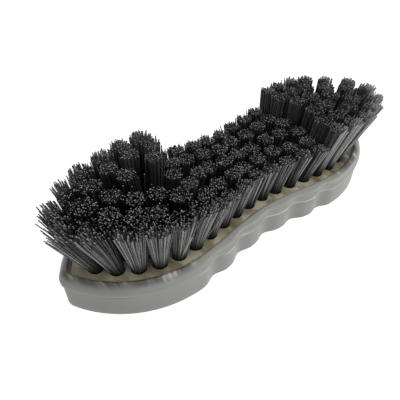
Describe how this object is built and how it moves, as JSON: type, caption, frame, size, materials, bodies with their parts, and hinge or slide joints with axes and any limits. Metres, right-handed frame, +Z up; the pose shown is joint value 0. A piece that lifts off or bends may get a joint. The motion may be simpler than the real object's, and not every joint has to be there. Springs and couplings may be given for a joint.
{
  "type": "hand scrub brush",
  "caption": "Hand scrub brush with a waisted, finger-scalloped plastic grip, a tan tuft board inside it, and black bristle tufts that stand taller over both lobes than over the waist.",
  "frame": {"origin": "middle of the flat back, on the surface that the brush lies on", "axes": "+X along the brush, +Y across it, +Z up from the back to the bristle tips"},
  "size_m": [0.2, 0.0658, 0.048],
  "materials": {
    "grip": "satin mid-grey moulded plastic",
    "board": "tan moulded plastic, slightly glossy",
    "filament": "near-black drawn filament with cut tips"
  },
  "bodies": {
    "root": {"grip": "grip", "tuft_board": "board", "near_lobe_bristles": "filament", "waist_bristles": "filament", "far_lobe_bristles": "filament"}
  },
  "joints": []
}
